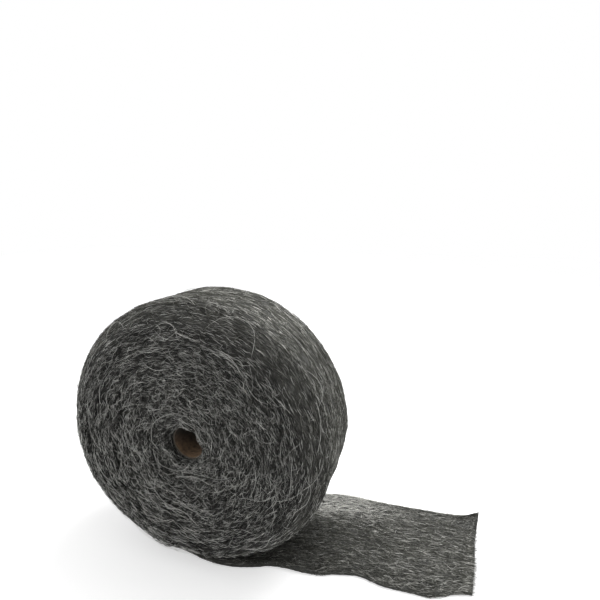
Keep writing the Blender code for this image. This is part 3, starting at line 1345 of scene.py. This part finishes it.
@dataclass(frozen=True)
class CardboardFinish:
    """Wound brown paper, with a grain, a slanting seam, greyed rims that show the plies, and painted
    shade deep in the bore.
    """

    axis_height: float
    length: float
    light: Colour = (0.520, 0.350, 0.210)
    dark: Colour = (0.170, 0.105, 0.062)
    # near black, painted as shade deep in the bore
    painted_shade: Colour = (0.016, 0.013, 0.011)
    rim: Colour = (0.100, 0.085, 0.068)
    grain_scale: float = 300.0
    grain_detail: float = 6.0
    grain_roughness: float = 0.65
    dark_at: float = 0.3
    light_at: float = 0.7
    seam_pitch: float = 58.0 * MM
    seam_width: float = 0.035
    seam_tone: float = 0.35
    seam_edge_at: float = 0.98
    seam_edge_tone: float = 0.9
    ply: float = 0.6 * MM
    # in metres, how far apart the wave texture's rings lie at scale 1
    rings_at_scale_one: float = 0.314
    ply_share: float = 0.35
    ply_twist: float = 1.5
    # where the painted shade in the bore begins and where it is full, as shares of the core's length
    # from its middle
    painted_shade_from: float = 0.8
    painted_shade_until: float = 0.25
    painted_shade_share: float = 0.97
    # what the depth changes by for each metre of height, so that the low side stays free of painted
    # shade further in
    low_side_painted_shade: float = -1.8
    rim_grey_from: float = 0.9 * MM
    rim_grey_until: float = 0.2 * MM
    bump_strength: float = 0.3
    bump_height: float = 0.3 * MM
    roughness: float = 0.9

    def material(self) -> bpy.types.Material:
        """Makes the material, on Object coordinates.

        Returns:
            The material.
        """
        recipe = Recipe("Cardboard")
        place = recipe.add("ShaderNodeTexCoord").outputs["Object"]
        centred = recipe.placed(place, "Location", (0.0, 0.0, -self.axis_height))
        grain = recipe.add(
            "ShaderNodeTexNoise",
            scale=self.grain_scale,
            detail=self.grain_detail,
            roughness=self.grain_roughness,
        )
        recipe.join(centred, grain.inputs["Vector"])
        stops = [(self.dark_at, self.dark), (self.light_at, self.light)]
        paper = recipe.ramp(grain.outputs["Fac"], stops)
        seamed = recipe.mix(1.0, paper, self._seam(recipe, centred), "MULTIPLY")
        scale = self.rings_at_scale_one / self.ply
        plies = recipe.add("ShaderNodeTexWave", wave_type="RINGS", rings_direction="Y", scale=scale)
        plies.inputs["Distortion"].default_value = self.ply_twist
        recipe.join(centred, plies.inputs["Vector"])
        ringed = recipe.mix(self.ply_share, seamed, plies.outputs["Color"], "MULTIPLY")
        colour = self._painted_shade_and_rims(recipe, centred, ringed)
        recipe.bump(grain.outputs["Fac"], self.bump_strength, self.bump_height)
        return recipe.finish(colour, self.roughness)

    def _seam(self, recipe: Recipe, centred: bpy.types.NodeSocket) -> bpy.types.NodeSocket:
        """Draws the slanting seam that runs round the tube.

        Args:
            recipe: The material's nodes.
            centred: Coordinates from the middle of the core.

        Returns:
            A grey that darkens the paper at the seam.
        """
        upright = recipe.placed(centred, "Rotation", (math.pi / 2, 0.0, 0.0))
        angle = recipe.add("ShaderNodeTexGradient", gradient_type="RADIAL")
        recipe.join(upright, angle.inputs["Vector"])
        parts = recipe.add("ShaderNodeSeparateXYZ")
        recipe.join(centred, parts.inputs["Vector"])
        along = parts.outputs["Y"]
        climb = recipe.calc("MULTIPLY_ADD", along, 1 / self.seam_pitch, angle.outputs["Fac"])
        tones = (0.0, self.seam_tone), (self.seam_width, 1.0), (self.seam_edge_at, self.seam_edge_tone)
        stops = [(at, (tone, tone, tone)) for at, tone in tones]
        return recipe.ramp(recipe.calc("FRACT", climb), stops)

    def _painted_shade_and_rims(
        self, recipe: Recipe, centred: bpy.types.NodeSocket, paper: bpy.types.NodeSocket
    ) -> bpy.types.NodeSocket:
        """Paints shade deep in the bore, less of it on its low side, and greys its rims.

        Args:
            recipe: The material's nodes.
            centred: Coordinates from the middle of the core.
            paper: The paper's colour.

        Returns:
            The colour with its painted shade and its greyed rims.
        """
        parts = recipe.add("ShaderNodeSeparateXYZ")
        recipe.join(centred, parts.inputs["Vector"])
        depth = recipe.calc("ABSOLUTE", parts.outputs["Y"])
        low_side = recipe.calc("MULTIPLY_ADD", parts.outputs["Z"], self.low_side_painted_shade, depth)
        inside = recipe.add("ShaderNodeMapRange", interpolation_type="SMOOTHSTEP")
        inside.inputs["From Min"].default_value = self.length * self.painted_shade_from
        inside.inputs["From Max"].default_value = self.length * self.painted_shade_until
        inside.inputs["To Max"].default_value = self.painted_shade_share
        recipe.join(low_side, inside.inputs["Value"])
        # painted shade deep in the bore, reaching nearer the rims on its upper side
        shaded = recipe.mix(inside.outputs["Result"], paper, self.painted_shade)
        rim_grey = recipe.add("ShaderNodeMapRange")
        rim_grey.inputs["From Min"].default_value = self.length / 2 - self.rim_grey_from
        rim_grey.inputs["From Max"].default_value = self.length / 2 - self.rim_grey_until
        recipe.join(depth, rim_grey.inputs["Value"])
        return recipe.mix(rim_grey.outputs["Result"], shaded, self.rim)


@dataclass(frozen=True)
class Studio:
    """A pale table, a white surround and soft lamps from above."""

    surround: float = 0.6
    top_lamp: float = 9.0
    front_lamp: float = 3.0
    lamp_size: float = 0.8
    table_size: float = 6.0
    table_drop: float = 0.2 * MM
    table_tone: float = 0.86
    table_roughness: float = 0.9
    table_glow: float = 0.45

    def build(self) -> None:
        """Lays the table and lights it."""
        self._lay_table()
        self._surround()
        self._lamp("top_lamp", (0.3, 0.4, 0.9), (0.04, 0.02, 0.05), self.top_lamp)
        self._lamp("front_lamp", (-0.7, -0.9, 0.6), (0.0, 0.0, 0.1), self.front_lamp)

    def _lay_table(self) -> None:
        """Makes the table, which glows a little where the camera sees it."""
        bpy.ops.object.select_all(action="DESELECT")
        bpy.ops.mesh.primitive_plane_add(size=self.table_size, location=(0, 0, -self.table_drop))
        table = bpy.context.object
        table.name = "studio_table"
        recipe = Recipe("Pale table")
        recipe.shader.inputs["Base Color"].default_value = (*(self.table_tone,) * 3, 1)
        recipe.shader.inputs["Roughness"].default_value = self.table_roughness
        recipe.shader.inputs["Emission Color"].default_value = (1, 1, 1, 1)
        seen = recipe.add("ShaderNodeLightPath").outputs["Is Camera Ray"]
        glow = recipe.calc("MULTIPLY", seen, self.table_glow)
        recipe.join(glow, recipe.shader.inputs["Emission Strength"])
        table.data.materials.append(recipe.material)

    def _surround(self) -> None:
        """Puts a white surround behind the scene, which lights it less strongly than it is seen."""
        world = bpy.data.worlds.new("Studio")
        bpy.context.scene.world = world
        world.use_nodes = True
        tree = world.node_tree
        light = tree.nodes["Background"]
        light.inputs["Color"].default_value = (1, 1, 1, 1)
        light.inputs["Strength"].default_value = self.surround
        seen = tree.nodes.new("ShaderNodeBackground")
        seen.inputs["Color"].default_value = (1, 1, 1, 1)
        path = tree.nodes.new("ShaderNodeLightPath")
        either = tree.nodes.new("ShaderNodeMath")
        either.operation = "MAXIMUM"
        choice = tree.nodes.new("ShaderNodeMixShader")
        tree.links.new(path.outputs["Is Camera Ray"], either.inputs[0])
        tree.links.new(path.outputs["Is Glossy Ray"], either.inputs[1])
        tree.links.new(either.outputs["Value"], choice.inputs["Fac"])
        tree.links.new(light.outputs["Background"], choice.inputs[1])
        tree.links.new(seen.outputs["Background"], choice.inputs[2])
        tree.links.new(choice.outputs["Shader"], tree.nodes["World Output"].inputs["Surface"])

    def _lamp(
        self, name: str, at: tuple[float, float, float], aim: tuple[float, float, float], power: float
    ) -> None:
        """Hangs a soft square lamp.

        Args:
            name: The lamp's name.
            at: Where it hangs.
            aim: The point it shines at.
            power: Its power in watts.
        """
        data = bpy.data.lights.new(name, "AREA")
        data.size, data.energy = self.lamp_size, power
        lamp = bpy.data.objects.new(name, data)
        lamp.location = at
        lamp.rotation_euler = (Vector(aim) - Vector(at)).to_track_quat("-Z", "Y").to_euler()
        bpy.context.scene.collection.objects.link(lamp)


@dataclass(frozen=True)
class ViewPoint:
    """The camera at the photograph's angle."""

    at: tuple[float, float, float] = (0.1702, -0.2819, 0.2734)
    heading: tuple[float, float, float] = (-0.3039, 0.9323, -0.1963)
    lens: float = 24.42
    sensor: float = 36.0
    nearest: float = 5.0 * MM

    def build(self) -> None:
        """Sets up the camera."""
        data = bpy.data.cameras.new("camera")
        data.lens, data.sensor_width = self.lens, self.sensor
        data.clip_start = self.nearest
        camera = bpy.data.objects.new("camera", data)
        camera.location = self.at
        camera.rotation_euler = Vector(self.heading).to_track_quat("-Z", "Y").to_euler()
        bpy.context.scene.collection.objects.link(camera)
        bpy.context.scene.camera = camera


class SteelWoolRoll:
    """The whole roll, dressed piece by piece."""

    core_fit = 0.35 * MM

    def __init__(self, frame: dict) -> None:
        """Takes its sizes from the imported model.

        Args:
            frame: What the frame holds.
        """
        low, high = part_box("cardboard_core")
        core_radius = (high.x - low.x) / 2
        self.frame = frame
        self.core_length = high.y - low.y
        self.form = StripForm(axis_height=(high.z + low.z) / 2, bore_radius=core_radius + self.core_fit)

    def build(self) -> None:
        """Builds the pieces in order, reports each one and dresses the core."""
        mat = WoolMat(self.form).build()
        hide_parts("wool_strip")
        self._settle(mat)
        for coat in self.coats():
            self._settle(coat.build())
        core = self.frame["nodes"]["cardboard_core"]
        core.data.materials.clear()
        core.data.materials.append(CardboardFinish(self.form.axis_height, self.core_length).material())

    def coats(self) -> list[FibreCoat]:
        """Plans the coats of fibres, from the faces to the loose end.

        Returns:
            The coats, still to be built.
        """
        short, curl, long = FibreForm(rings=2), FibreForm(rings=3), FibreForm(rings=9)
        grey = FibreFinish("Steel fibres").material()
        olive = FibreFinish(
            "Rolled steel fibres",
            dark=(0.022, 0.022, 0.018),
            middle=(0.124, 0.125, 0.108),
            light=(0.680, 0.676, 0.635),
            patch_depth=0.6,
            roughness=0.45,
        ).material()
        face = dict(
            length=(4 * MM, 10 * MM), thickness=(0.17 * MM, 0.29 * MM), spread=0.36, wild=0.22, bow=0.07,
            lift=(0.0, 0.8 * MM),
        )
        curls = dict(
            length=(5 * MM, 11 * MM), thickness=(0.15 * MM, 0.25 * MM), spread=0.5, wild=0.3, bow=0.12,
            lift=(0.4 * MM, 1.1 * MM), tones=(0.05, 1.15),
        )
        back = dict(face, length=(6 * MM, 14 * MM), thickness=(0.24 * MM, 0.42 * MM), tones=(-0.1, 0.75))
        fleck = dict(
            length=(3 * MM, 7 * MM), thickness=(0.14 * MM, 0.24 * MM), spread=0.45, wild=0.25, bow=0.08,
            lift=(0.3 * MM, 0.9 * MM), tones=(-0.25, 1.05),
        )
        calm = dict(
            length=(6 * MM, 16 * MM), thickness=(0.22 * MM, 0.42 * MM), spread=0.22, wild=0.12, bow=0.10,
            lift=(0.0, 0.5 * MM), arch=0.25 * MM, tones=(0.1, 0.75),
        )
        laid = dict(
            length=(5 * MM, 14 * MM), thickness=(0.18 * MM, 0.34 * MM), spread=0.26, wild=0.15, bow=0.10,
            lift=(0.0, 0.5 * MM), arch=0.25 * MM, tones=(0.05, 0.72), bright=0.04,
        )
        cut = dict(
            length=(4 * MM, 11 * MM), thickness=(0.18 * MM, 0.34 * MM), spread=0.3, wild=0.1, bow=0.12,
            lift=(-0.1 * MM, 0.4 * MM), arch=0.1 * MM, tones=(0.0, 0.65),
        )
        stray = dict(
            length=(18 * MM, 42 * MM), thickness=(0.2 * MM, 0.3 * MM), spread=0.6, wild=0.3, bow=0.2,
            lift=(0.8 * MM, 1.8 * MM), arch=1.5 * MM, tones=(0.75, 1.0),
        )
        return [
            FaceCoat(self.form, Nap("fibres_front", 16400, 21, tones=(-0.35, 0.4), **face), short, grey),
            FaceCoat(self.form, Nap("flecks_front", 12000, 30, **fleck), short, grey),
            FaceCoat(self.form, Nap("curls_front", 7500, 26, **curls), curl, grey),
            FaceCoat(self.form, Nap("strays_front", 110, 27, **stray), long, grey),
            MouthCoat(self.form, Nap("mouth_fibres", 1400, 28, tones=(0.05, 0.75), **face), short, grey),
            BackCoat(self.form, Nap("fibres_back", 8500, 22, **back), short, grey),
            RoundCoat(self.form, Nap("fibres_round_low", 7000, 23, **calm), short, olive, last=0.5),
            RoundCoat(self.form, Nap("fibres_round_high", 7500, 24, **calm), short, olive, first=0.5),
            LooseEndCoat(self.form, Nap("fibres_loose_end", 10500, 25, **laid), short, olive),
            CutCoat(self.form, Nap("cut_fibres", 900, 29, **cut), short, olive),
        ]

    def _settle(self, piece: bpy.types.Object) -> None:
        """Lets a piece of wool ride on the roll and reports it.

        Args:
            piece: The finished piece.
        """
        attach(piece, "root")
        LOG.info("%s: %d faces", piece.name, len(piece.data.polygons))


def main() -> None:
    """Loads the frame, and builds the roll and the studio."""
    logging.basicConfig(level=logging.INFO, format="%(name)s: %(message)s")
    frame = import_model()
    ViewPoint().build()
    SteelWoolRoll(frame).build()
    Studio().build()
    bpy.context.scene.view_settings.view_transform = "Standard"


if __name__ == "__main__":
    main()
